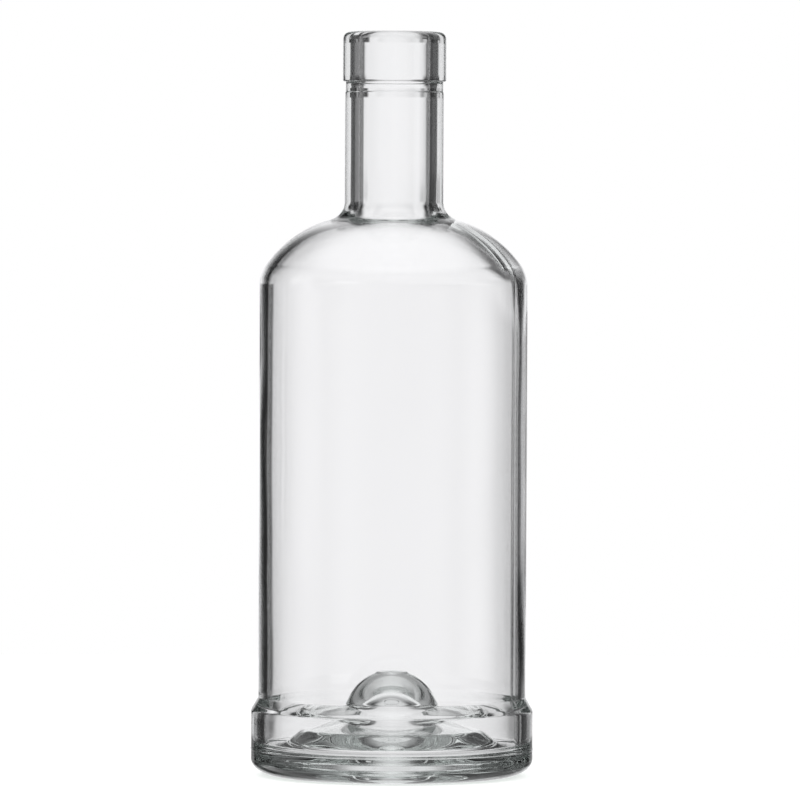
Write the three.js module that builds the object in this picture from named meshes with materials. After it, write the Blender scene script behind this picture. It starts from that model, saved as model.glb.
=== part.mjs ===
import * as THREE from 'three';

// Clear glass spirits bottle of about 0.7 litres, blown in a mould as one piece, with a plain
// ring mouth for a push-in stopper and a bubble pushed up in the middle of its base.
// Millimetres, +Z up, origin at the middle of the surface that it stands on.

// Lengths along the axis, from the bottom up, with the heel inside the base band
const heelHeight = 5.4;
const baseBandHeight = 20.2;
const ledgeHeight = 3.8;
const wallLength = 127;
const shoulderRise = 25.8;
const neckLength = 33.5;
const collarLength = 3.4;
const ringHeight = 15.3;

// Radii of the outside
const bodyRadius = 41.3;
const ledgeWidth = 2.2;
const neckRadius = 15.2;
const collarInset = 0.2;
const ringRadius = 15.9;

// Round stretches of the outside
const knuckleRadius = 11;
const shoulderRadius = 36;
const neckRootRadius = 5.7;
const ledgeRootRadius = 0.5;
const ledgeEdgeRadius = 2;
const ringTopRadius = 2.2;
const ringUndersideRadius = 0.7;

// Thickness of the glass
const wallThickness = 2.5;
const baseBandThickness = 4;
const neckThickness = 4.2;
const floorThickness = 8.5;
const bubbleThickness = 6.6;

// Foot: the quarter ellipse of the heel, then the narrow ring that carries the bottle
const heelWidth = 8.5;
const footWidth = 3.2;
const footInnerRadius = 1.2;

// Floor inside: a gutter by the wall, a slope, a gently rising shelf and the bubble
const gutterWidth = 4.6;
const gutterRadius = 2.4;
const slopeWidth = 7;
const slopeRise = 5.6;
const slopeRadius = 5;
const shelfAngle = THREE.MathUtils.degToRad(11);
const bubbleRadius = 14.7;
const bubbleHeight = 32.4;
const bubbleRootRadius = 3;

// Hollow pushed up under the bubble
const hollowDrop = 3;
const hollowRootRadius = 5.5;

// Mouth
const mouthEdgeRadius = 1;

// Fineness of the faceted solid
const segmentsAround = 56;
const arcDeviation = 0.12;
const nearestPoints = 0.02;

// Heights and radii that follow from the sizes above
const bodyBottom = baseBandHeight + ledgeHeight;
const bodyTop = bodyBottom + wallLength;
const neckBottom = bodyTop + shoulderRise;
const neckTop = neckBottom + neckLength;
const ringBottom = neckTop + collarLength;
const bottleHeight = ringBottom + ringHeight;
const baseRadius = bodyRadius + ledgeWidth;
const cavityRadius = bodyRadius - wallThickness;
const baseCavityRadius = baseRadius - baseBandThickness;
const boreRadius = neckRadius - neckThickness;
const footOuterRadius = baseRadius - heelWidth;
const footInnerEdge = footOuterRadius - footWidth;
const slopeFootRadius = baseCavityRadius - gutterWidth;
const slopeHeadRadius = slopeFootRadius - slopeWidth;
const slopeHeadHeight = floorThickness + slopeRise;
const bubbleCentreHeight = bubbleHeight - bubbleRadius;
const hollowRadius = bubbleRadius - bubbleThickness;
const hollowCentreHeight = bubbleCentreHeight - hollowDrop;

// Points of a round stretch about a centre, from one angle to another, ends included. The
// chords stay within arcDeviation of the curve.
function arc(centre, radii, fromAngle, toAngle) {
  const widest = Math.max(radii.x, radii.y);
  const chordAngle = 2 * Math.acos(1 - Math.min(arcDeviation / widest, 0.5));
  const steps = Math.max(2, Math.ceil(Math.abs(toAngle - fromAngle) / chordAngle));
  const points = [];
  for (let i = 0; i <= steps; i++) {
    const angle = fromAngle + ((toAngle - fromAngle) * i) / steps;
    points.push(
      new THREE.Vector2(centre.x + radii.x * Math.cos(angle), centre.y + radii.y * Math.sin(angle)),
    );
  }
  return points;
}

function roundArc(centre, radius, fromAngle, toAngle) {
  return arc(centre, new THREE.Vector2(radius, radius), fromAngle, toAngle);
}

// A corner at radius and height, rounded by fillet where that is given
function corner(radius, height, fillet = 0) {
  return { point: new THREE.Vector2(radius, height), fillet };
}

// Points of one rounded corner between the corner before it and the corner after it. Two
// rounded neighbours share the straight stretch between them.
function roundedCorner(before, here, after) {
  const back = before.point.clone().sub(here.point);
  const ahead = after.point.clone().sub(here.point);
  const roomBack = back.length() * (before.fillet > 0 ? 0.5 : 1);
  const roomAhead = ahead.length() * (after.fillet > 0 ? 0.5 : 1);
  back.normalize();
  ahead.normalize();
  const half = Math.acos(back.dot(ahead)) / 2;
  const setback = Math.min(here.fillet / Math.tan(half), roomBack, roomAhead);
  const radius = setback * Math.tan(half);
  const bisector = back.clone().add(ahead).normalize();
  const centre = here.point.clone().addScaledVector(bisector, radius / Math.sin(half));
  const start = here.point.clone().addScaledVector(back, setback).sub(centre);
  const end = here.point.clone().addScaledVector(ahead, setback).sub(centre);
  const turn = Math.atan2(start.cross(end), start.dot(end));
  return roundArc(centre, radius, start.angle(), start.angle() + turn);
}

// A run of straight stretches with rounded corners; its two ends stay sharp
function roundedRun(corners) {
  const points = [corners[0].point];
  for (let i = 1; i < corners.length - 1; i++) {
    if (corners[i].fillet > 0) {
      points.push(...roundedCorner(corners[i - 1], corners[i], corners[i + 1]));
    } else {
      points.push(corners[i].point);
    }
  }
  points.push(corners[corners.length - 1].point);
  return points;
}

// Middle of the wide dome of the shoulder, from which the small knuckle above the wall and
// the hollow root of the neck both keep their own distance
function shoulderCentre() {
  const knuckleCentre = new THREE.Vector2(bodyRadius - knuckleRadius, bodyTop);
  const rootCentre = new THREE.Vector2(neckRadius + neckRootRadius, neckBottom);
  const between = rootCentre.clone().sub(knuckleCentre);
  const distance = between.length();
  const toKnuckle = shoulderRadius - knuckleRadius;
  const toRoot = shoulderRadius + neckRootRadius;
  const along = (toKnuckle ** 2 - toRoot ** 2 + distance ** 2) / (2 * distance);
  const aside = Math.sqrt(toKnuckle ** 2 - along ** 2);
  const direction = between.normalize();
  return knuckleCentre
    .addScaledVector(direction, along)
    .addScaledVector(new THREE.Vector2(-direction.y, direction.x), aside);
}

// Shoulder from the top of the wall to the bottom of the neck, at a depth below the outside:
// three arcs that run into each other, the last of them upright at the neck's radius
function shoulder(depth, neck) {
  const knuckleCentre = new THREE.Vector2(bodyRadius - knuckleRadius, bodyTop);
  const domeCentre = shoulderCentre();
  const dome = shoulderRadius - depth;
  const reach = neck - domeCentre.x;
  const rise = neckBottom - domeCentre.y;
  const neckRoot = (reach ** 2 + rise ** 2 - dome ** 2) / (2 * (dome - reach));
  const rootCentre = new THREE.Vector2(neck + neckRoot, neckBottom);
  const knuckleEnd = knuckleCentre.clone().sub(domeCentre).angle();
  const domeEnd = rootCentre.clone().sub(domeCentre).angle();
  return [
    ...roundArc(knuckleCentre, knuckleRadius - depth, 0, knuckleEnd),
    ...roundArc(domeCentre, dome, knuckleEnd, domeEnd).slice(1),
    ...roundArc(rootCentre, neckRoot, domeEnd + Math.PI, Math.PI).slice(1),
  ];
}

// Dome on the axis with a hollow root that runs into a shelf, from the root up to the axis.
// The shelf starts at its outer end, shelfStart, and rises inwards by shelfAngle.
function dome(radius, centreHeight, root, shelfStart) {
  const centre = new THREE.Vector2(0, centreHeight);
  const inwards = new THREE.Vector2(-Math.cos(shelfAngle), Math.sin(shelfAngle));
  const upwards = new THREE.Vector2(Math.sin(shelfAngle), Math.cos(shelfAngle));
  const offset = shelfStart.clone().addScaledVector(upwards, root).sub(centre);
  const along = offset.dot(inwards);
  const travel = -along - Math.sqrt(along ** 2 - offset.lengthSq() + (radius + root) ** 2);
  const fromCentre = offset.addScaledVector(inwards, travel);
  const meeting = Math.atan2(fromCentre.y, fromCentre.x);
  const rootCentre = fromCentre.clone().add(centre);
  return [
    ...roundArc(rootCentre, root, -Math.PI / 2 - shelfAngle, meeting - Math.PI),
    ...roundArc(centre, radius, meeting, Math.PI / 2).slice(1),
  ];
}

// Underside, from the axis out to the ring that the bottle stands on
function undersideOutline() {
  const shelfStart = new THREE.Vector2(slopeHeadRadius, slopeHeadHeight - floorThickness);
  const hollow = dome(hollowRadius, hollowCentreHeight, hollowRootRadius, shelfStart).reverse();
  const hollowEdge = hollow[hollow.length - 1];
  return [
    ...hollow.slice(0, -1),
    ...roundedRun([
      corner(hollowEdge.x, hollowEdge.y),
      corner(shelfStart.x, shelfStart.y, slopeRadius),
      corner(footInnerEdge, 0, footInnerRadius),
      corner(footOuterRadius, 0),
    ]),
  ];
}

// Outside of the base: the heel, the upright band and the ledge under the wall
function baseOutline() {
  const heelCentre = new THREE.Vector2(footOuterRadius, heelHeight);
  return [
    ...arc(heelCentre, new THREE.Vector2(heelWidth, heelHeight), -Math.PI / 2, 0),
    ...roundedRun([
      corner(baseRadius, heelHeight),
      corner(baseRadius, baseBandHeight, ledgeEdgeRadius),
      corner(bodyRadius, bodyBottom, ledgeRootRadius),
      corner(bodyRadius, bodyTop),
    ]),
  ];
}

// Outside of the neck with the ring round the mouth, up to the inner edge of the rim
function mouthOutline() {
  return roundedRun([
    corner(neckRadius, neckBottom),
    corner(neckRadius, neckTop),
    corner(neckRadius - collarInset, neckTop + collarInset),
    corner(neckRadius - collarInset, ringBottom),
    corner(ringRadius, ringBottom, ringUndersideRadius),
    corner(ringRadius, bottleHeight, ringTopRadius),
    corner(boreRadius, bottleHeight, mouthEdgeRadius),
    corner(boreRadius, neckBottom),
  ]);
}

// Floor inside: from the wall down into the gutter and up over the slope to the bubble
function floorOutline() {
  const shelfStart = new THREE.Vector2(slopeHeadRadius, slopeHeadHeight);
  const bubble = dome(bubbleRadius, bubbleCentreHeight, bubbleRootRadius, shelfStart);
  return [
    ...roundedRun([
      corner(cavityRadius, bodyTop),
      corner(cavityRadius, bodyBottom, slopeRadius),
      corner(baseCavityRadius, baseBandHeight, slopeRadius),
      corner(baseCavityRadius, floorThickness, gutterRadius),
      corner(slopeFootRadius, floorThickness, slopeRadius),
      corner(shelfStart.x, shelfStart.y, slopeRadius),
      corner(bubble[0].x, bubble[0].y),
    ]),
    ...bubble.slice(1),
  ];
}

// Whole outline of the glass, out along the underside, up the outside and down the inside,
// with no two points in the same place
function glassOutline() {
  const outline = [
    ...undersideOutline(),
    ...baseOutline(),
    ...shoulder(0, neckRadius),
    ...mouthOutline(),
    ...shoulder(wallThickness, boreRadius).reverse(),
    ...floorOutline(),
  ];
  return outline.filter((point, i) => i === 0 || point.distanceTo(outline[i - 1]) > nearestPoints);
}

function glassMaterial() {
  return new THREE.MeshStandardMaterial({
    color: 0xdfe5e2,
    roughness: 0.04,
    metalness: 0,
    transparent: true,
    opacity: 0.35,
  });
}

// The bottle, turned about the axis of its outline and stood upright
function makeBottle() {
  const outline = glassOutline();
  outline[0].x = 0;
  outline[outline.length - 1].x = 0;
  const geometry = new THREE.LatheGeometry(outline, segmentsAround);
  const bottle = new THREE.Mesh(geometry, glassMaterial());
  bottle.name = 'bottle';
  bottle.rotation.x = Math.PI / 2;
  return bottle;
}

const group = new THREE.Group();
group.add(makeBottle());

export default group;
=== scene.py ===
import math

import bpy
import numpy as np
from mathutils import Matrix, Vector


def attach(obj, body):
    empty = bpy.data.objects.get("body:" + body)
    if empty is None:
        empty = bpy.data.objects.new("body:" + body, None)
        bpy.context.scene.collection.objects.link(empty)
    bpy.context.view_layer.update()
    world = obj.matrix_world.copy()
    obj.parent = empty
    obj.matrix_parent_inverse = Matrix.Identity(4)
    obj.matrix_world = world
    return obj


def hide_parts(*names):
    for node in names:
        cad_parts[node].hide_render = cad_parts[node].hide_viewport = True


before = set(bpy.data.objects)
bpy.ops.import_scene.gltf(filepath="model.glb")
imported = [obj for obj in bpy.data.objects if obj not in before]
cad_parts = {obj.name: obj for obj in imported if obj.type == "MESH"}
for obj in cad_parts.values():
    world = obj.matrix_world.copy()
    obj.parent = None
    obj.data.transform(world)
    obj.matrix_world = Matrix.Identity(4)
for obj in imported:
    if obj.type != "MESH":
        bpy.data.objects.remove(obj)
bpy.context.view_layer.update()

# Metres in a millimetre: the sizes below are in millimetres, as in the bottle's own source
MM = 0.001

# Lengths along the axis, from the bottom up
HEEL_HEIGHT = 5.4
BASE_BAND_HEIGHT = 20.2
LEDGE_HEIGHT = 3.8
WALL_LENGTH = 127.0
SHOULDER_RISE = 25.8
NECK_LENGTH = 33.5
COLLAR_LENGTH = 3.4
RING_HEIGHT = 15.3

# Radii of the outside
BODY_RADIUS = 41.3
LEDGE_WIDTH = 2.2
NECK_RADIUS = 15.2
COLLAR_INSET = 0.2
RING_RADIUS = 15.9

# Round stretches of the outside
KNUCKLE_RADIUS = 11.0
SHOULDER_RADIUS = 36.0
NECK_ROOT_RADIUS = 5.7
LEDGE_ROOT_RADIUS = 0.5
LEDGE_EDGE_RADIUS = 2.0
RING_TOP_RADIUS = 2.2
RING_UNDERSIDE_RADIUS = 0.7
RING_ROOT_RADIUS = 0.3
STEP_EDGE_RADIUS = 0.3
STEP_ROOT_RADIUS = 0.2

# Thickness of the glass
WALL_THICKNESS = 2.5
BASE_BAND_THICKNESS = 4.0
NECK_THICKNESS = 4.2
FLOOR_THICKNESS = 8.5
BUBBLE_THICKNESS = 6.6

# Foot and floor
HEEL_WIDTH = 8.5
FOOT_WIDTH = 3.2
FOOT_INNER_RADIUS = 1.2
GUTTER_WIDTH = 4.6
GUTTER_RADIUS = 2.4
SLOPE_WIDTH = 7.0
SLOPE_RISE = 5.6
SLOPE_RADIUS = 5.0
SHELF_ANGLE = math.radians(11)
BUBBLE_RADIUS = 14.7
BUBBLE_HEIGHT = 32.4
BUBBLE_ROOT_RADIUS = 3.0
HOLLOW_DROP = 3.0
HOLLOW_ROOT_RADIUS = 5.5
MOUTH_EDGE_RADIUS = 1.0

# A thick place in the right shoulder: its depth, its height and half height, and its angle
# and half angle
THICK_PLACE = (0.6, 160.0, 12.0, math.radians(80), math.radians(30))

# Plain raised ring on top of the bubble
MARK_RADIUS = 4.4
MARK_RISE = 0.3
MARK_HALF_WIDTH = 0.45
MARK_REACH = 3 * MARK_HALF_WIDTH

# Traces of the mould: two upright seams and the line where the base plate met the mould
SEAM_ANGLES = (math.radians(64), math.radians(-116))
SEAM_HEIGHTS = (0.016, 0.006)
SEAM_HALF_WIDTH = 0.3
PLATE_LINE_HEIGHT = 8.3
PLATE_LINE_RISE = 0.14
PLATE_LINE_HALF_WIDTH = 0.2
PLATE_LINE_REACH = 4 * PLATE_LINE_HALF_WIDTH

# Length over which a trace of the mould or the bubble's ring starts and ends
MARK_MARGIN = 1.0

# Slow unevenness of the blown wall: waves, each (size, turns round, wavelength, phase)
OUTER_WAVES = (
    (0.03, 2, 260.0, 0.4),
    (0.015, 3, -110.0, 1.9),
    (0.005, 7, 47.0, 2.6),
)
INNER_WAVES = (
    (0.06, 1, 300.0, 2.2),
    (0.035, 2, -150.0, 0.7),
    (0.02, 3, 95.0, 4.0),
    (0.01, 5, -61.0, 5.1),
    (0.004, 9, 38.0, 1.2),
)

# Heights between which the waves grow from the base up to the wall, the share of the inner
# ones that the floor keeps, and the radius round the axis that has none
OUTER_WAVES_START = 2.0
OUTER_WAVES_FULL = 30.0
INNER_WAVES_START = 12.0
INNER_WAVES_FULL = 40.0
FLOOR_WAVES_SHARE = 0.35
STILL_RADIUS = 5.0

# Fineness of the mesh round the axis: even columns, extra ones across each seam in half widths
# of the seam, and the share of a step that they keep from the even ones
COLUMNS = 144
SEAM_OFFSETS = (-2.0, -1.0, -0.5, 0.0, 0.5, 1.0, 2.0)
COLUMN_CLEARANCE = 0.4

# Fineness of the mesh along the outline
ARC_STEP = math.radians(3)
SHORT_ARC_STEP = math.radians(15)
SHORT_ARC_RADIUS = 4.0
ROW_SPACING = 2.0
PLATE_LINE_SPACING = 0.12
MARK_SPACING = 0.25
SHORTEST_STEP = 0.01

# Glass: how it bends light, the tint that its depth gives, and what its shadow lets through
GLASS_IOR = 1.52
GLASS_TINT = (0.74, 0.81, 0.78, 1.0)
GLASS_TINT_DENSITY = 11.0
GLASS_SHADOW = (0.82, 0.85, 0.83, 1.0)

# Skin of the glass: fine ripples with their depth in metres, and faint smears with the noise
# values between which they come up
RIPPLE_SCALE = 60.0
RIPPLE_DEPTH = 0.00005
RIPPLE_STRENGTH = 0.25
SMEAR_SCALE = 35.0
SMEAR_START = 0.4
SMEAR_FULL = 0.8
SMEAR_ROUGHNESS = 0.025

# Camera, in metres: how far before the axis and how high it stands, the point at the axis that
# it looks at, and the width that its frame has there
CAMERA_DISTANCE = 2.13
CAMERA_HEIGHT = 0.170
TARGET_HEIGHT = 0.1157
TARGET_ASIDE = 0.0021
CAMERA_ROLL = math.radians(0.25)
FRAME_WIDTH = 0.2465
SENSOR_WIDTH = 36.0

# Stage, in metres, and the light that reaches what isn't glass
FLOOR_RADIUS = 0.6
FLOOR_SIDES = 96
FLOOR_DROP = 0.0002
FLOOR_COLOUR = (0.8, 0.8, 0.8, 1.0)
FLOOR_GLOW = 0.35
PLAIN_LIGHT = 0.7
WHITE = (1.0, 1.0, 1.0, 1.0)

# Heights and radii that follow from the sizes above
body_bottom = BASE_BAND_HEIGHT + LEDGE_HEIGHT
body_top = body_bottom + WALL_LENGTH
neck_bottom = body_top + SHOULDER_RISE
neck_top = neck_bottom + NECK_LENGTH
ring_bottom = neck_top + COLLAR_LENGTH
bottle_height = ring_bottom + RING_HEIGHT
base_radius = BODY_RADIUS + LEDGE_WIDTH
cavity_radius = BODY_RADIUS - WALL_THICKNESS
base_cavity_radius = base_radius - BASE_BAND_THICKNESS
bore_radius = NECK_RADIUS - NECK_THICKNESS
foot_outer_radius = base_radius - HEEL_WIDTH
foot_inner_edge = foot_outer_radius - FOOT_WIDTH
slope_foot_radius = base_cavity_radius - GUTTER_WIDTH
slope_head_radius = slope_foot_radius - SLOPE_WIDTH
slope_head_height = FLOOR_THICKNESS + SLOPE_RISE
bubble_centre_height = BUBBLE_HEIGHT - BUBBLE_RADIUS
hollow_radius = BUBBLE_RADIUS - BUBBLE_THICKNESS
hollow_centre_height = bubble_centre_height - HOLLOW_DROP


def arc(centre, radius, from_angle, to_angle, radius_up=None):
    """Points of a round stretch about a centre, ends included."""
    radius_up = radius if radius_up is None else radius_up
    step = ARC_STEP if max(radius, radius_up) > SHORT_ARC_RADIUS else SHORT_ARC_STEP
    count = max(3, math.ceil(abs(to_angle - from_angle) / step))
    angles = np.linspace(from_angle, to_angle, count + 1)
    return np.column_stack(
        [centre[0] + radius * np.cos(angles), centre[1] + radius_up * np.sin(angles)]
    )


def angle_of(vector):
    """Direction of a vector in the outline's plane."""
    return math.atan2(vector[1], vector[0])


def unit(vector):
    """The same direction at length one."""
    return np.asarray(vector) / np.linalg.norm(vector)


def rounded_corner(before, here, after):
    """Points of one rounded corner; each corner is (radius, height, fillet)."""
    point = np.array(here[:2])
    back = np.array(before[:2]) - point
    ahead = np.array(after[:2]) - point
    room_back = np.linalg.norm(back) * (0.5 if before[2] > 0 else 1)
    room_ahead = np.linalg.norm(ahead) * (0.5 if after[2] > 0 else 1)
    back, ahead = unit(back), unit(ahead)
    half = math.acos(float(back @ ahead)) / 2
    setback = min(here[2] / math.tan(half), room_back, room_ahead)
    radius = setback * math.tan(half)
    centre = point + unit(back + ahead) * radius / math.sin(half)
    start = point + back * setback - centre
    end = point + ahead * setback - centre
    turn = math.atan2(start[0] * end[1] - start[1] * end[0], float(start @ end))
    return arc(centre, radius, angle_of(start), angle_of(start) + turn)


def rounded_run(*corners):
    """A run of straight stretches with rounded corners; its two ends stay sharp."""
    points = [np.array([corners[0][:2]])]
    for before, here, after in zip(corners, corners[1:], corners[2:]):
        if here[2] > 0:
            points.append(rounded_corner(before, here, after))
        else:
            points.append(np.array([here[:2]]))
    points.append(np.array([corners[-1][:2]]))
    return np.vstack(points)


def shoulder_centre():
    """Middle of the shoulder's wide dome, from which its knuckle and the neck's hollow root
    both keep their own distance."""
    knuckle_centre = np.array([BODY_RADIUS - KNUCKLE_RADIUS, body_top])
    root_centre = np.array([NECK_RADIUS + NECK_ROOT_RADIUS, neck_bottom])
    between = root_centre - knuckle_centre
    distance = np.linalg.norm(between)
    to_knuckle = SHOULDER_RADIUS - KNUCKLE_RADIUS
    to_root = SHOULDER_RADIUS + NECK_ROOT_RADIUS
    along = (to_knuckle**2 - to_root**2 + distance**2) / (2 * distance)
    aside = math.sqrt(to_knuckle**2 - along**2)
    direction = unit(between)
    return knuckle_centre + direction * along + np.array([-direction[1], direction[0]]) * aside


def shoulder(depth, neck):
    """Knuckle, dome and hollow neck root at a depth below the outside, three arcs that run
    into each other, the last of them upright at the neck's radius."""
    knuckle_centre = np.array([BODY_RADIUS - KNUCKLE_RADIUS, body_top])
    dome_centre = shoulder_centre()
    dome_radius = SHOULDER_RADIUS - depth
    reach = neck - dome_centre[0]
    rise = neck_bottom - dome_centre[1]
    neck_root = (reach**2 + rise**2 - dome_radius**2) / (2 * (dome_radius - reach))
    root_centre = np.array([neck + neck_root, neck_bottom])
    knuckle_end = angle_of(knuckle_centre - dome_centre)
    dome_end = angle_of(root_centre - dome_centre)
    return np.vstack(
        [
            arc(knuckle_centre, KNUCKLE_RADIUS - depth, 0, knuckle_end),
            arc(dome_centre, dome_radius, knuckle_end, dome_end),
            arc(root_centre, neck_root, dome_end + math.pi, math.pi),
        ]
    )


def dome(radius, centre_height, root, shelf_start):
    """Dome on the axis with a hollow root that runs into a rising shelf, root to axis."""
    centre = np.array([0.0, centre_height])
    inwards = np.array([-math.cos(SHELF_ANGLE), math.sin(SHELF_ANGLE)])
    upwards = np.array([math.sin(SHELF_ANGLE), math.cos(SHELF_ANGLE)])
    offset = shelf_start + upwards * root - centre
    along = float(offset @ inwards)
    travel = -along - math.sqrt(along**2 - float(offset @ offset) + (radius + root) ** 2)
    from_centre = offset + inwards * travel
    meeting = angle_of(from_centre)
    return np.vstack(
        [
            arc(from_centre + centre, root, -math.pi / 2 - SHELF_ANGLE, meeting - math.pi),
            arc(centre, radius, meeting, math.pi / 2),
        ]
    )


def underside_outline():
    """From the axis under the hollow out to the outer edge of the foot."""
    shelf_start = np.array([slope_head_radius, slope_head_height - FLOOR_THICKNESS])
    hollow = dome(hollow_radius, hollow_centre_height, HOLLOW_ROOT_RADIUS, shelf_start)[::-1]
    run = rounded_run(
        (*hollow[-1], 0),
        (*shelf_start, SLOPE_RADIUS),
        (foot_inner_edge, 0.0, FOOT_INNER_RADIUS),
        (foot_outer_radius, 0.0, 0),
    )
    return np.vstack([hollow, run])


def base_outline():
    """From the foot round the heel and up the base band, the ledge and the wall."""
    heel = arc((foot_outer_radius, HEEL_HEIGHT), HEEL_WIDTH, -math.pi / 2, 0, HEEL_HEIGHT)
    band = rounded_run(
        (base_radius, HEEL_HEIGHT, 0),
        (base_radius, BASE_BAND_HEIGHT, LEDGE_EDGE_RADIUS),
        (BODY_RADIUS, body_bottom, LEDGE_ROOT_RADIUS),
        (BODY_RADIUS, body_top, 0),
    )
    return np.vstack([heel, band])


def mouth_outline():
    """Up the neck's outside, over the ring and down the bore."""
    collar_radius = NECK_RADIUS - COLLAR_INSET
    return rounded_run(
        (NECK_RADIUS, neck_bottom, 0),
        (NECK_RADIUS, neck_top, STEP_EDGE_RADIUS),
        (collar_radius, neck_top + COLLAR_INSET, STEP_ROOT_RADIUS),
        (collar_radius, ring_bottom, RING_ROOT_RADIUS),
        (RING_RADIUS, ring_bottom, RING_UNDERSIDE_RADIUS),
        (RING_RADIUS, bottle_height, RING_TOP_RADIUS),
        (bore_radius, bottle_height, MOUTH_EDGE_RADIUS),
        (bore_radius, neck_bottom, 0),
    )


def floor_outline():
    """From the top of the wall's inside down over the floor to the top of the bubble."""
    shelf_start = np.array([slope_head_radius, slope_head_height])
    bubble = dome(BUBBLE_RADIUS, bubble_centre_height, BUBBLE_ROOT_RADIUS, shelf_start)
    run = rounded_run(
        (cavity_radius, body_top, 0),
        (cavity_radius, body_bottom, SLOPE_RADIUS),
        (base_cavity_radius, BASE_BAND_HEIGHT, SLOPE_RADIUS),
        (base_cavity_radius, FLOOR_THICKNESS, GUTTER_RADIUS),
        (slope_foot_radius, FLOOR_THICKNESS, SLOPE_RADIUS),
        (*shelf_start, SLOPE_RADIUS),
        (*bubble[0], 0),
    )
    return np.vstack([run, bubble])


def divided(points, spacing_at):
    """The same outline with its long stretches divided, and no two points in one place."""
    kept = [points[0]]
    for point in points[1:]:
        start = kept[-1]
        length = np.linalg.norm(point - start)
        if length < SHORTEST_STEP:
            continue
        spacing = spacing_at((point + start) / 2)
        count = max(1, math.ceil(length / spacing))
        kept.extend(start + (point - start) * k / count for k in range(1, count + 1))
    return np.array(kept)


def outer_spacing(point):
    """Row spacing on the outside, fine across the base plate's line."""
    near = abs(point[1] - PLATE_LINE_HEIGHT) < PLATE_LINE_REACH
    on_band = point[0] > base_radius - MARK_MARGIN
    return PLATE_LINE_SPACING if near and on_band else ROW_SPACING


def inner_spacing(point):
    """Row spacing on the inside, fine on top of the bubble."""
    near = point[0] < MARK_RADIUS + MARK_REACH
    on_floor = point[1] < BUBBLE_HEIGHT + MARK_MARGIN
    return MARK_SPACING if near and on_floor else ROW_SPACING


def outer_and_inner():
    """The outside from the axis up to the rim, and the inside from the rim to the axis."""
    mouth = mouth_outline()
    rim = int(np.argmax(mouth[:, 1] > bottle_height - SHORTEST_STEP)) + 1
    below_line = np.array([[base_radius, PLATE_LINE_HEIGHT - PLATE_LINE_REACH]])
    above_line = np.array([[base_radius, PLATE_LINE_HEIGHT + PLATE_LINE_REACH]])
    base = base_outline()
    line_at = int(np.argmax(base[:, 1] > PLATE_LINE_HEIGHT))
    base = np.vstack([base[:line_at], below_line, above_line, base[line_at:]])
    outer_shoulder = shoulder(0, NECK_RADIUS)
    inner_shoulder = shoulder(WALL_THICKNESS, bore_radius)
    outer = np.vstack([underside_outline(), base, outer_shoulder, mouth[:rim]])
    inner = np.vstack([mouth[rim - 1 :], inner_shoulder[::-1], floor_outline()])
    return divided(outer, outer_spacing), divided(inner, inner_spacing)


def column_angles():
    """Even columns round the axis, with finer ones across each mould seam."""
    even = np.linspace(-math.pi, math.pi, COLUMNS, endpoint=False)
    fine = [
        seam + offset * SEAM_HALF_WIDTH / BODY_RADIUS
        for seam in SEAM_ANGLES
        for offset in SEAM_OFFSETS
    ]
    step = 2 * math.pi / COLUMNS
    clearance = COLUMN_CLEARANCE * step
    far = [column for column in even if min(abs(column - other) for other in fine) > clearance]
    return np.array(sorted(far + fine))


def bell(distances, half_width):
    """1 in the middle and falling smoothly to 0 on both sides."""
    return np.exp(-((distances / half_width) ** 2))


def seam_ridge(angles, radii):
    """Height of the two mould seams above the outside."""
    ridge = np.zeros((len(radii), len(angles)))
    for seam, height in zip(SEAM_ANGLES, SEAM_HEIGHTS):
        turn = (angles - seam + math.pi) % (2 * math.pi) - math.pi
        ridge += height * bell(turn[None, :] * radii[:, None], SEAM_HALF_WIDTH)
    return ridge


def waves(angles, heights, terms):
    """Slow unevenness: a sum of waves, each (size, turns round, wavelength, phase)."""
    total = np.zeros((len(heights), len(angles)))
    for size, turns, wavelength, phase in terms:
        up = 2 * math.pi * heights[:, None] / wavelength
        total += size * np.sin(turns * angles[None, :] + up + phase)
    return total


def fade(values, low, high):
    """0 below low, 1 above high, and smooth between."""
    t = np.clip((values - low) / (high - low), 0, 1)
    return t * t * (3 - 2 * t)


def outline_normals(points):
    """Unit normals of the outline, pointing to the right of its direction."""
    ahead = np.gradient(points, axis=0)
    normals = np.column_stack([ahead[:, 1], -ahead[:, 0]])
    return normals / np.linalg.norm(normals, axis=1)[:, None]


def displaced(points, offsets):
    """Grid of (radius, height) with each row moved along its normal."""
    normals = outline_normals(points)
    radii = points[:, 0][:, None] + normals[:, 0][:, None] * offsets
    heights = points[:, 1][:, None] + normals[:, 1][:, None] * offsets
    return radii, heights


def outer_offsets(points, angles):
    """How far the mould's traces and the waves stand out from the even outside."""
    radii, heights = points[:, 0], points[:, 1]
    above_line = fade(heights, PLATE_LINE_HEIGHT - MARK_MARGIN, PLATE_LINE_HEIGHT + MARK_MARGIN)
    below_ring = 1 - fade(heights, ring_bottom, ring_bottom + MARK_MARGIN)
    seams = seam_ridge(angles, radii) * (above_line * below_ring)[:, None]
    on_band = radii > base_radius - MARK_MARGIN
    line = PLATE_LINE_RISE * bell(heights - PLATE_LINE_HEIGHT, PLATE_LINE_HALF_WIDTH) * on_band
    wavy = fade(radii, bore_radius, BODY_RADIUS)
    wavy = wavy * fade(heights, OUTER_WAVES_START, OUTER_WAVES_FULL)
    return seams + line[:, None] + waves(angles, heights, OUTER_WAVES) * wavy[:, None]


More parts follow.
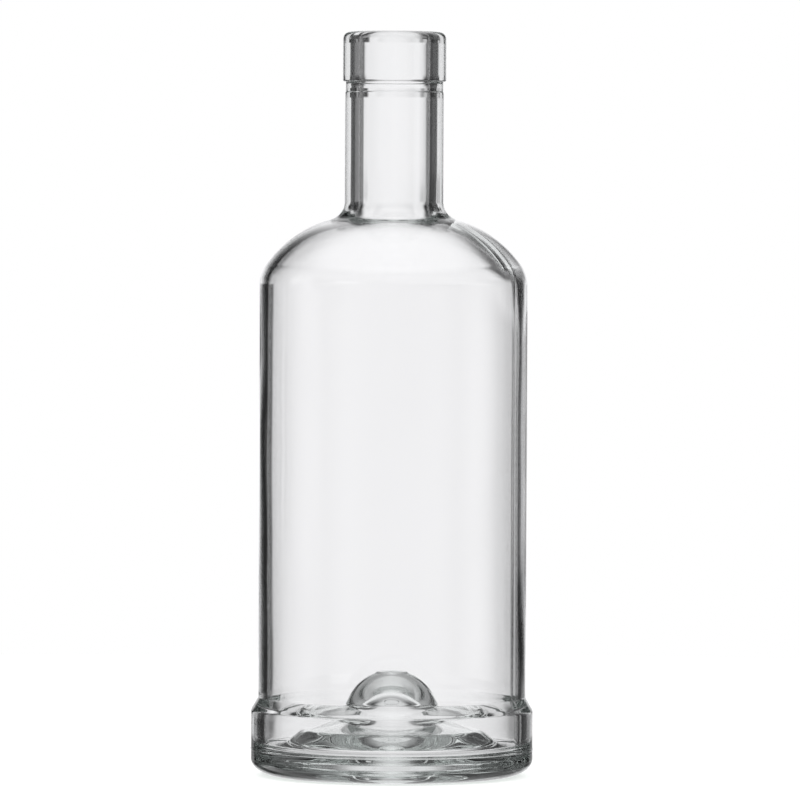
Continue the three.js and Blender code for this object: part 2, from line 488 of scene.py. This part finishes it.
def inner_offsets(points, angles):
    """How far the waves, the thick place and the bubble's ring stand in from the even inside."""
    radii, heights = points[:, 0], points[:, 1]
    on_wall = fade(heights, INNER_WAVES_START, INNER_WAVES_FULL)
    wavy = fade(radii, STILL_RADIUS, cavity_radius)
    wavy = wavy * (FLOOR_WAVES_SHARE + (1 - FLOOR_WAVES_SHARE) * on_wall)
    depth, middle, half_height, turn, half_turn = THICK_PLACE
    thick = bell(heights - middle, half_height)[:, None] * bell(angles - turn, half_turn)[None, :]
    on_bubble = (heights > bubble_centre_height) * (heights < BUBBLE_HEIGHT + MARK_MARGIN)
    mark = MARK_RISE * bell(radii - MARK_RADIUS, MARK_HALF_WIDTH) * on_bubble
    return waves(angles, heights, INNER_WAVES) * wavy[:, None] + depth * thick + mark[:, None]


def lathe_mesh(name, rows, angles):
    """Closed mesh of a grid of rows round the axis, whose first and last rows are points."""
    radii, heights = rows
    count = len(angles)
    x = radii[1:-1] * np.sin(angles)[None, :]
    y = -radii[1:-1] * np.cos(angles)[None, :]
    body = np.stack([x, y, heights[1:-1]], axis=-1).reshape(-1, 3)
    ends = np.array([[0, 0, heights[0].mean()], [0, 0, heights[-1].mean()]])
    vertices = np.vstack([ends, body]) * MM
    ring = np.arange(count)
    after = (ring + 1) % count
    faces = []
    rings = len(radii) - 2
    for row in range(rings - 1):
        low = 2 + row * count
        high = low + count
        faces.extend(zip(low + ring, low + after, high + after, high + ring))
    first, last = 2, 2 + (rings - 1) * count
    faces.extend(zip(np.zeros(count, int), first + after, first + ring))
    faces.extend(zip(np.ones(count, int), last + ring, last + after))
    mesh = bpy.data.meshes.new(name)
    mesh.from_pydata(vertices.tolist(), [], [[int(i) for i in face] for face in faces])
    mesh.polygons.foreach_set("use_smooth", [True] * len(mesh.polygons))
    mesh.update()
    return mesh


def link(name, data):
    """A new object in the scene."""
    made = bpy.data.objects.new(name, data)
    bpy.context.scene.collection.objects.link(made)
    return made


def node(tree, kind, inputs=(), **settings):
    """A new node; inputs are values or links by socket name or number."""
    made = tree.nodes.new(kind)
    for key, value in settings.items():
        setattr(made, key, value)
    for socket, value in dict(inputs).items():
        if isinstance(value, bpy.types.NodeSocket):
            tree.links.new(value, made.inputs[socket])
        else:
            made.inputs[socket].default_value = value
    return made


def math_node(tree, operation, first, second=0.0):
    """Output of a new sum, product or other calculation."""
    return node(tree, "ShaderNodeMath", {0: first, 1: second}, operation=operation).outputs[0]


def empty_tree(owner):
    """The node tree of a material or world, with nothing in it."""
    owner.use_nodes = True
    owner.node_tree.nodes.clear()
    return owner.node_tree


def glass_material():
    """Clear flint glass with a faint grey-green depth and slightly uneven skin."""
    material = bpy.data.materials.new("flint_glass")
    tree = empty_tree(material)
    place = node(tree, "ShaderNodeTexCoord").outputs["Object"]
    ripple = node(
        tree, "ShaderNodeTexNoise", {"Vector": place, "Scale": RIPPLE_SCALE, "Detail": 2.0}
    )
    bump = node(
        tree,
        "ShaderNodeBump",
        {"Height": ripple.outputs[0], "Strength": RIPPLE_STRENGTH, "Distance": RIPPLE_DEPTH},
    )
    smear = node(
        tree, "ShaderNodeTexNoise", {"Vector": place, "Scale": SMEAR_SCALE, "Detail": 3.0}
    )
    rough = node(
        tree,
        "ShaderNodeMapRange",
        {
            "Value": smear.outputs[0],
            "From Min": SMEAR_START,
            "From Max": SMEAR_FULL,
            "To Min": 0.0,
            "To Max": SMEAR_ROUGHNESS,
        },
    )
    glass = node(
        tree,
        "ShaderNodeBsdfPrincipled",
        {
            "Base Color": WHITE,
            "Roughness": rough.outputs[0],
            "IOR": GLASS_IOR,
            "Transmission Weight": 1.0,
            "Normal": bump.outputs[0],
        },
    )
    shadow = node(tree, "ShaderNodeBsdfTransparent", {"Color": GLASS_SHADOW})
    to_lamp = node(tree, "ShaderNodeLightPath").outputs["Is Shadow Ray"]
    both = node(
        tree, "ShaderNodeMixShader", {0: to_lamp, 1: glass.outputs[0], 2: shadow.outputs[0]}
    )
    depth = node(
        tree, "ShaderNodeVolumeAbsorption", {"Color": GLASS_TINT, "Density": GLASS_TINT_DENSITY}
    )
    node(
        tree,
        "ShaderNodeOutputMaterial",
        {"Surface": both.outputs[0], "Volume": depth.outputs[0]},
    )
    return material


def make_bottle():
    """The fine glass body that stands for the faceted solid."""
    outer, inner = outer_and_inner()
    angles = column_angles()
    outer_rows = displaced(outer, outer_offsets(outer, angles))
    inner_rows = displaced(inner, inner_offsets(inner, angles))
    rows = tuple(np.vstack([a, b[1:]]) for a, b in zip(outer_rows, inner_rows))
    bottle = link("clear_bottle", lathe_mesh("clear_bottle", rows, angles))
    bottle.data.materials.append(glass_material())
    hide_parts("bottle")
    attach(bottle, "root")


# What glass sees round it: brightness by the angle in degrees from straight behind, positive
# to the right, in levels that follow each other from low to high. This one is level with the
# body: a panel behind it, a grey strip to the right of the panel, and a light on the left
BODY_LEVEL = (
    (-180, 0.3), (-140, 0.3), (-118, 0.1), (-97, 0.9), (-90, 1.0), (-80, 0.85), (-62, 0.05),
    (-56, 0.35), (-50, 0.02), (-14.5, 0.02), (-13.5, 0.9), (-8, 1.0), (-6, 0.87),
    (-4.6, 0.9), (-3, 0.99), (0, 1.0), (3, 0.96), (5, 0.89), (7, 0.83),
    (12, 0.87), (14, 0.45), (17, 0.3), (20, 0.62), (26, 0.62), (29, 0.1), (33, 0.02),
    (60, 0.03), (72, 0.3), (95, 0.5), (140, 0.6),
)

# All the levels, each with the sine of its height above the horizon before its brightness
STUDIO = (
    # The table
    (-0.75, (-180, 0.4), (-90, 0.4), (0, 0.8), (90, 0.4)),
    # For steep looks down at the bottle: a lit panel on the left back
    (
        -0.42,
        (-180, 0.3), (-92, 0.3), (-84, 0.02), (-60, 0.02), (-57, 0.95), (-45, 1.1), (-33, 0.95),
        (-30, 0.02), (-17, 0.02), (-13, 0.8), (0, 0.95), (14, 0.8), (22, 0.25), (60, 0.1),
        (100, 0.3),
    ),
    # For flatter looks down: a lit panel on the right front
    (
        -0.25,
        (-180, 0.05), (-168, 0.3), (-90, 0.35), (-75, 0.05), (-20, 0.04), (-13, 0.8), (0, 1.0),
        (13, 0.85), (20, 0.1), (60, 0.04), (96, 0.04), (120, 0.02), (123, 0.95), (135, 1.1),
        (147, 0.95), (150, 0.02), (176, 0.02),
    ),
    # Level with the base: a panel between grey flags
    (
        -0.08,
        (-180, 0.3), (-140, 0.3), (-118, 0.06), (-97, 0.85), (-90, 0.95), (-80, 0.8), (-62, 0.04),
        (-28, 0.03), (-24, 0.35), (-15, 0.35), (-12, 0.8), (0, 0.97), (9, 0.85), (13, 0.6),
        (16, 0.3), (24, 0.25), (28, 0.03), (75, 0.1), (95, 0.45), (140, 0.6),
    ),
    # Level with the foot of the body: a narrow panel between wide dark flags
    (
        -0.06,
        (-180, 0.3), (-140, 0.3), (-118, 0.06), (-97, 0.85), (-90, 0.95), (-80, 0.8), (-62, 0.04),
        (-57, 0.3), (-52, 0.3), (-46, 0.02), (-14.5, 0.02), (-13.5, 0.85), (-8, 0.97), (-5, 0.9),
        (-3, 0.98), (0, 1.0), (3, 0.96), (5, 0.89), (9, 0.82), (13, 0.55), (16, 0.35),
        (17.5, 0.02), (60, 0.02), (75, 0.1), (95, 0.45), (140, 0.6),
    ),
    # Level with the body
    (-0.038, *BODY_LEVEL),
    (-0.008, *BODY_LEVEL),
    # Level with the neck: a wider panel between dark flags
    (
        0.01,
        (-180, 0.35), (-140, 0.35), (-132, 0.1), (-108, 0.1), (-103, 0.9), (-90, 1.0), (-77, 0.9),
        (-72, 0.1), (-64, 0.25), (-50, 0.15), (-44, 0.02), (-30, 0.03), (-23, 0.12), (-20, 0.92),
        (0, 1.03), (10, 0.98), (20, 0.85), (23.5, 0.7), (26, 0.2), (32, 0.05), (60, 0.06),
        (75, 0.25), (100, 0.5), (140, 0.45),
    ),
    # Above the neck: dark beside the panel
    (
        0.08,
        (-180, 0.3), (-140, 0.3), (-105, 0.1), (-100, 0.8), (-80, 0.8), (-75, 0.02), (-22, 0.02),
        (-16, 0.95), (0, 1.05), (16, 0.95), (22, 0.02), (75, 0.03), (100, 0.3),
    ),
    # The panel's narrower upper end
    (
        0.2,
        (-180, 0.3), (-140, 0.3), (-105, 0.1), (-100, 0.8), (-80, 0.8), (-75, 0.02), (-13, 0.02),
        (-7, 0.9), (0, 1.05), (7, 0.9), (13, 0.02), (75, 0.03), (100, 0.3),
    ),
    # The dark upper part of the room
    (0.62, (-180, 0.12), (-25, 0.04), (-12, 0.5), (12, 0.5), (25, 0.04)),
    # The soft light overhead
    (0.88, (-180, 0.8)),
)

# Brightness that a ramp's white stands for, and the studio's faint blue
STUDIO_FULL = 1.6
STUDIO_TINT = (0.99, 0.985, 1.0)


def azimuth_ramp(tree, share, levels):
    """Colour ramp of one level of the studio; share runs from 0 to 1 round the axis."""
    ramp = node(tree, "ShaderNodeValToRGB", {0: share})
    stops = ramp.color_ramp.elements
    while len(stops) > 1:
        stops.remove(stops[0])
    for number, (degrees, level) in enumerate(levels):
        place = degrees / 360 + 0.5
        stop = stops.new(place) if number else stops[0]
        stop.position = place
        stop.color = [level * tint / STUDIO_FULL for tint in STUDIO_TINT] + [1]
    stops.new(1.0).color = stops[0].color
    return ramp.outputs[0]


def make_world():
    """White for the camera, the studio for what glass mirrors and bends, and plain soft
    light for everything else."""
    world = bpy.data.worlds.new("studio")
    bpy.context.scene.world = world
    tree = empty_tree(world)
    direction = node(tree, "ShaderNodeTexCoord").outputs["Generated"]
    parts = node(tree, "ShaderNodeSeparateXYZ", {0: direction})
    turn = math_node(tree, "ARCTAN2", parts.outputs[0], parts.outputs[1])
    share = math_node(tree, "MULTIPLY_ADD", turn, 1 / (2 * math.pi))
    share.node.inputs[2].default_value = 0.5
    colour = azimuth_ramp(tree, share, STUDIO[0][1:])
    for below, above in zip(STUDIO, STUDIO[1:]):
        rise = node(
            tree,
            "ShaderNodeMapRange",
            {"Value": parts.outputs[2], "From Min": below[0], "From Max": above[0]},
            interpolation_type="SMOOTHSTEP",
        )
        upper = azimuth_ramp(tree, share, above[1:])
        # Sockets 6 and 7 of this node are its two colours
        blend = {0: rise.outputs[0], 6: colour, 7: upper}
        colour = node(tree, "ShaderNodeMix", blend, data_type="RGBA").outputs[2]
    studio = node(tree, "ShaderNodeBackground", {0: colour, 1: STUDIO_FULL})
    plain = node(tree, "ShaderNodeBackground", {0: WHITE, 1: PLAIN_LIGHT})
    white = node(tree, "ShaderNodeBackground", {0: WHITE, 1: 1.0})
    path = node(tree, "ShaderNodeLightPath")
    mirrored, bent_through = path.outputs["Is Glossy Ray"], path.outputs["Is Transmission Ray"]
    bent = math_node(tree, "MAXIMUM", mirrored, bent_through)
    other = node(tree, "ShaderNodeMixShader", {0: bent, 1: plain.outputs[0], 2: studio.outputs[0]})
    final = node(
        tree,
        "ShaderNodeMixShader",
        {0: path.outputs["Is Camera Ray"], 1: other.outputs[0], 2: white.outputs[0]},
    )
    node(tree, "ShaderNodeOutputWorld", {"Surface": final.outputs[0]})


def make_floor():
    """A plain pale round table top that keeps the bottle's soft shadow. Glass looks past it
    to the studio."""
    mesh = bpy.data.meshes.new("floor")
    rim = np.linspace(0, 2 * math.pi, FLOOR_SIDES, endpoint=False)
    mesh.from_pydata(
        [(FLOOR_RADIUS * math.cos(a), FLOOR_RADIUS * math.sin(a), -FLOOR_DROP) for a in rim],
        [],
        [list(range(len(rim)))],
    )
    floor = link("floor", mesh)
    floor.visible_glossy = False
    floor.visible_transmission = False
    material = bpy.data.materials.new("pale_floor")
    tree = empty_tree(material)
    plain = node(tree, "ShaderNodeBsdfDiffuse", {"Color": FLOOR_COLOUR})
    glow = node(tree, "ShaderNodeEmission", {"Color": WHITE, "Strength": FLOOR_GLOW})
    path = node(tree, "ShaderNodeLightPath")
    lit = node(tree, "ShaderNodeAddShader", {0: plain.outputs[0], 1: glow.outputs[0]})
    mixed = node(
        tree,
        "ShaderNodeMixShader",
        {0: path.outputs["Is Camera Ray"], 1: plain.outputs[0], 2: lit.outputs[0]},
    )
    node(tree, "ShaderNodeOutputMaterial", {"Surface": mixed.outputs[0]})
    mesh.materials.append(material)


def make_lamp(name, place, size, power):
    """A soft square lamp that faces the bottle's middle."""
    data = bpy.data.lights.new(name, "AREA")
    data.size = size
    data.energy = power
    lamp = link(name, data)
    lamp.location = place
    aim = Vector((0, 0, bottle_height * MM / 2)) - lamp.location
    lamp.rotation_euler = aim.to_track_quat("-Z", "Y").to_euler()
    lamp.visible_glossy = False
    lamp.visible_transmission = False


def make_camera():
    """The photograph's viewpoint: a long lens a little above the middle of the bottle."""
    data = bpy.data.cameras.new("camera")
    data.sensor_width = SENSOR_WIDTH
    eye = Vector((0, -CAMERA_DISTANCE, CAMERA_HEIGHT))
    target = Vector((TARGET_ASIDE, 0, TARGET_HEIGHT))
    data.lens = SENSOR_WIDTH * (target - eye).length / FRAME_WIDTH
    data.clip_start = 0.1
    data.clip_end = 20
    camera = link("camera", data)
    look = (target - eye).to_track_quat("-Z", "Y").to_matrix().to_4x4()
    camera.matrix_world = Matrix.Translation(eye) @ look @ Matrix.Rotation(CAMERA_ROLL, 4, "Z")
    bpy.context.scene.camera = camera


def render_settings():
    """Standard colours, and enough bounces for light to run round inside the glass."""
    scene = bpy.context.scene
    scene.view_settings.view_transform = "Standard"
    scene.cycles.max_bounces = 32
    scene.cycles.transmission_bounces = 32
    scene.cycles.glossy_bounces = 24
    scene.cycles.transparent_max_bounces = 16


make_camera()
make_bottle()
make_floor()
make_world()
make_lamp("key_lamp", place=(-0.9, -0.7, 1.3), size=0.9, power=14)
make_lamp("fill_lamp", place=(1.0, -0.5, 1.1), size=0.9, power=9)
render_settings()
